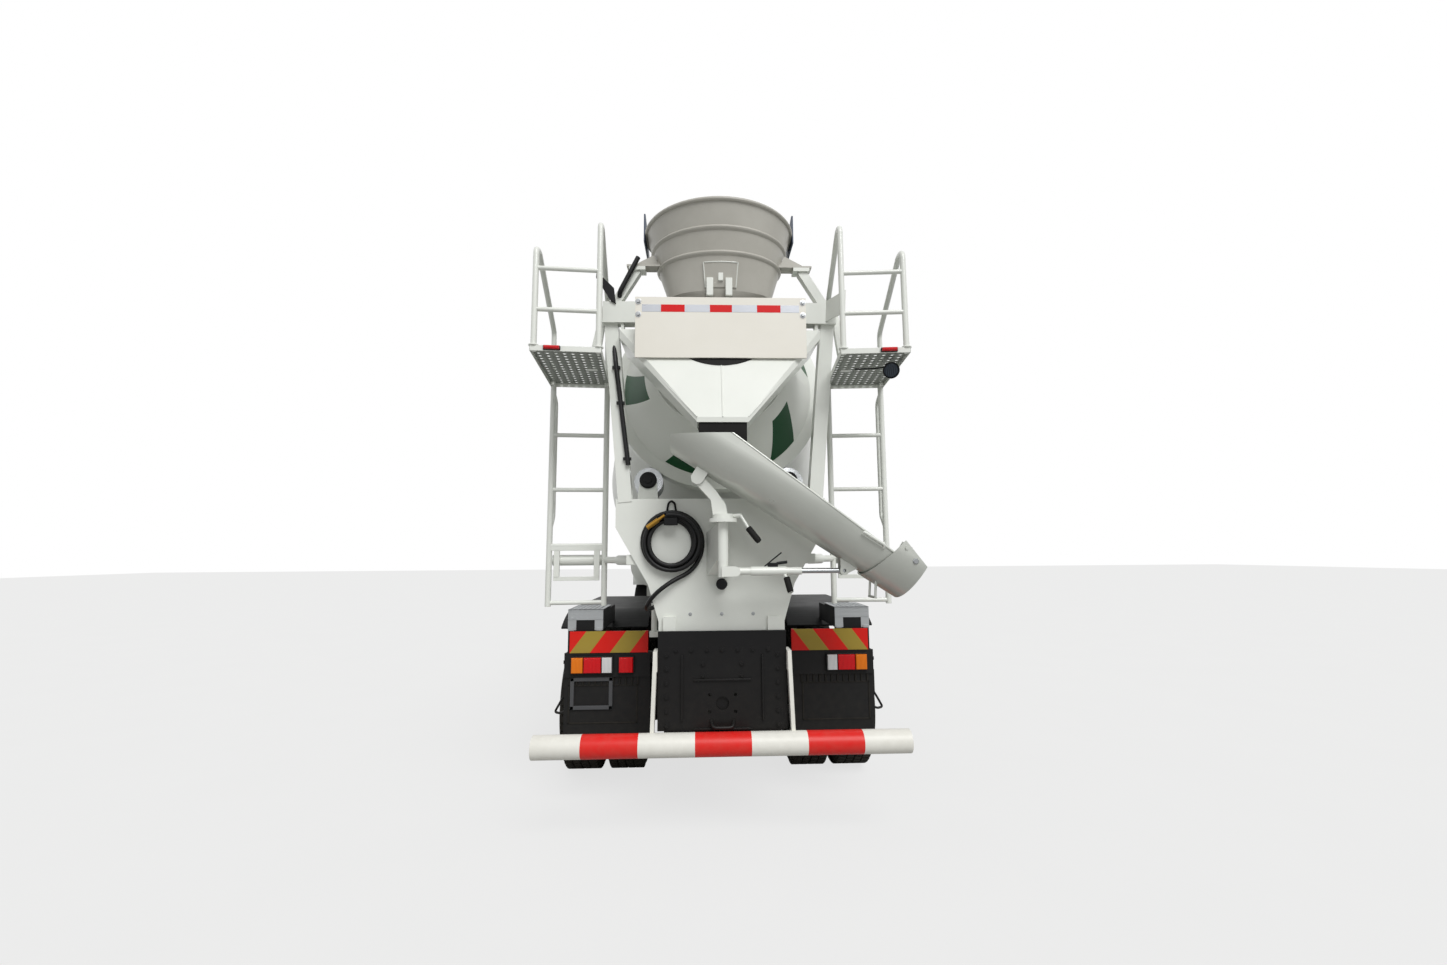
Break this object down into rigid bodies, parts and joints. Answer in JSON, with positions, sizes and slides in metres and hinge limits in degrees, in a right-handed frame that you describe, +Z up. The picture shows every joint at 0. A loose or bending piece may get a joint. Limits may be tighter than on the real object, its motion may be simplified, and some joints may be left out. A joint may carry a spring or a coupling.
{
  "type": "concrete mixer truck",
  "caption": "Heavy cab-over truck with a sloping concrete drum, feed and discharge hoppers, swinging tilting chute, ladders, twin rear tyres and steered front wheels.",
  "frame": {"origin": "on the ground under the middle of the box of the truck", "axes": "+X to the right side, +Y forward, +Z up"},
  "size_m": [3.06, 8.394, 4.1],
  "materials": {
    "white_paint": "satin",
    "black_steel": "satin",
    "dark_plastic": "matte",
    "tyre": "matte",
    "rubber": "matte",
    "wheel_metal": "satin",
    "engine_metal": "matte",
    "chute_paint": "satin",
    "cab_paint": "gloss",
    "cab_trim": "matte",
    "glass": "clear",
    "lamp": "gloss",
    "board": "matte",
    "bare_steel": "brushed",
    "tank_alloy": "satin",
    "brass": "satin"
  },
  "bodies": {
    "chassis": {"frame": "black_steel", "powertrain": "engine_metal", "front_axle": "black_steel", "rear_axles": "black_steel", "leaf_springs": "black_steel", "front_pedestal": "white_paint", "rear_stand": "white_paint", "feed_hopper": "white_paint", "discharge_hopper": "white_paint", "apron": "rubber", "ladder_left": "white_paint", "ladder_right": "white_paint", "mudguards": "dark_plastic", "underrun_bar": "white_paint", "lamps": "lamp", "rear_boards": "board", "hose_coil": "rubber", "hose_tail": "rubber", "hose_nozzle": "brass", "fuel_tank": "tank_alloy", "water_tank": "white_paint", "battery_box": "dark_plastic", "front_bumper": "dark_plastic"},
    "cab": {"cab_floor": "cab_paint", "cab_back": "cab_paint", "cab_roof": "cab_paint", "cab_front": "cab_paint", "cab_interior": "cab_trim", "windscreen": "glass", "mirrors": "dark_plastic"},
    "left_door": {"door_left": "cab_paint", "door_glass_left": "glass"},
    "right_door": {"door_right": "cab_paint", "door_glass_right": "glass"},
    "left_knuckle": {"knuckle_left": "engine_metal"},
    "right_knuckle": {"knuckle_right": "engine_metal"},
    "front_left_wheel": {"tyre_front_left": "tyre", "rim_front_left": "wheel_metal"},
    "front_right_wheel": {"tyre_front_right": "tyre", "rim_front_right": "wheel_metal"},
    "mid_left_wheels": {"tyres_mid_left": "tyre", "rims_mid_left": "wheel_metal"},
    "mid_right_wheels": {"tyres_mid_right": "tyre", "rims_mid_right": "wheel_metal"},
    "last_left_wheels": {"tyres_last_left": "tyre", "rims_last_left": "wheel_metal"},
    "last_right_wheels": {"tyres_last_right": "tyre", "rims_last_right": "wheel_metal"},
    "drum": {"drum_rear_shell": "white_paint", "drum_front_shell": "white_paint"},
    "left_roller": {"roller_left": "black_steel"},
    "right_roller": {"roller_right": "black_steel"},
    "swing_head": {"chute_swing": "white_paint"},
    "trough": {"chute": "chute_paint"},
    "end_flap": {"chute_flap": "chute_paint"},
    "strut_body": {"strut_barrel": "white_paint"},
    "strut_slider": {"strut_rod": "bare_steel"}
  },
  "joints": [
    {"name": "steer_left", "type": "hinge", "parent": "chassis", "child": "left_knuckle", "pos_m": [-0.84, 2.837, 0.53], "axis": [0, 0, 1], "range_deg": [-32, 32]},
    {"name": "steer_right", "type": "hinge", "parent": "chassis", "child": "right_knuckle", "pos_m": [0.84, 2.837, 0.53], "axis": [0, 0, 1], "range_deg": [-32, 32]},
    {"name": "front_left_spin", "type": "hinge", "parent": "left_knuckle", "child": "front_left_wheel", "pos_m": [-1.01, 2.837, 0.53], "axis": [-1, 0, 0], "continuous": true},
    {"name": "front_right_spin", "type": "hinge", "parent": "right_knuckle", "child": "front_right_wheel", "pos_m": [1.01, 2.837, 0.53], "axis": [-1, 0, 0], "continuous": true},
    {"name": "mid_left_spin", "type": "hinge", "parent": "chassis", "child": "mid_left_wheels", "pos_m": [-0.885, -0.993, 0.53], "axis": [-1, 0, 0], "continuous": true},
    {"name": "mid_right_spin", "type": "hinge", "parent": "chassis", "child": "mid_right_wheels", "pos_m": [0.885, -0.993, 0.53], "axis": [-1, 0, 0], "continuous": true},
    {"name": "last_left_spin", "type": "hinge", "parent": "chassis", "child": "last_left_wheels", "pos_m": [-0.885, -2.343, 0.53], "axis": [-1, 0, 0], "continuous": true},
    {"name": "last_right_spin", "type": "hinge", "parent": "chassis", "child": "last_right_wheels", "pos_m": [0.885, -2.343, 0.53], "axis": [-1, 0, 0], "continuous": true},
    {"name": "drum_spin", "type": "hinge", "parent": "chassis", "child": "drum", "pos_m": [0, -2.963, 2.96], "axis": [0, 0.9799, -0.1994], "continuous": true},
    {"name": "left_roller_spin", "type": "hinge", "parent": "chassis", "child": "left_roller", "pos_m": [-0.51282, -3.11176, 2.22882], "axis": [0, 0.9799, -0.1994], "continuous": true},
    {"name": "right_roller_spin", "type": "hinge", "parent": "chassis", "child": "right_roller", "pos_m": [0.51282, -3.11176, 2.22882], "axis": [0, 0.9799, -0.1994], "continuous": true},
    {"name": "chute_swing", "type": "hinge", "parent": "chassis", "child": "swing_head", "pos_m": [0, -3.963, 1.8], "axis": [0, 0, 1], "range_deg": [-180, 0]},
    {"name": "chute_tilt", "type": "hinge", "parent": "swing_head", "child": "trough", "pos_m": [-0.15, -3.963, 2.16], "axis": [0, -1, 0], "range_deg": [-8, 15]},
    {"name": "strut_lean", "type": "hinge", "parent": "swing_head", "child": "strut_body", "pos_m": [0.072, -3.963, 1.612], "axis": [0, -1, 0], "range_deg": [-10.5, 19.5]},
    {"name": "strut_slide", "type": "slide", "parent": "strut_body", "child": "strut_slider", "axis": [1, 0, 0], "range_m": [-0.081, 0.15]},
    {"name": "flap_fold", "type": "hinge", "parent": "trough", "child": "end_flap", "pos_m": [1.01857, -3.963, 1.74042], "axis": [0, -1, 0], "range_deg": [0, 100]},
    {"name": "cab_tilt", "type": "hinge", "parent": "chassis", "child": "cab", "pos_m": [0, 4.037, 1], "axis": [-1, 0, 0], "range_deg": [0, 45]},
    {"name": "left_door_swing", "type": "hinge", "parent": "cab", "child": "left_door", "pos_m": [-1.266, 3.92, 1.69], "axis": [0, 0, -1], "range_deg": [0, 70]},
    {"name": "right_door_swing", "type": "hinge", "parent": "cab", "child": "right_door", "pos_m": [1.266, 3.92, 1.69], "axis": [0, 0, 1], "range_deg": [0, 70]}
  ],
  "couplings": [
    {"joint": "steer_right", "follows": "steer_left", "ratio": 1},
    {"joint": "left_roller_spin", "follows": "drum_spin", "ratio": -7.619},
    {"joint": "right_roller_spin", "follows": "drum_spin", "ratio": -7.619},
    {"joint": "strut_lean", "follows": "chute_tilt", "ratio": 1.2615},
    {"joint": "strut_slide", "follows": "chute_tilt", "m_per_rad": 0.5529}
  ]
}
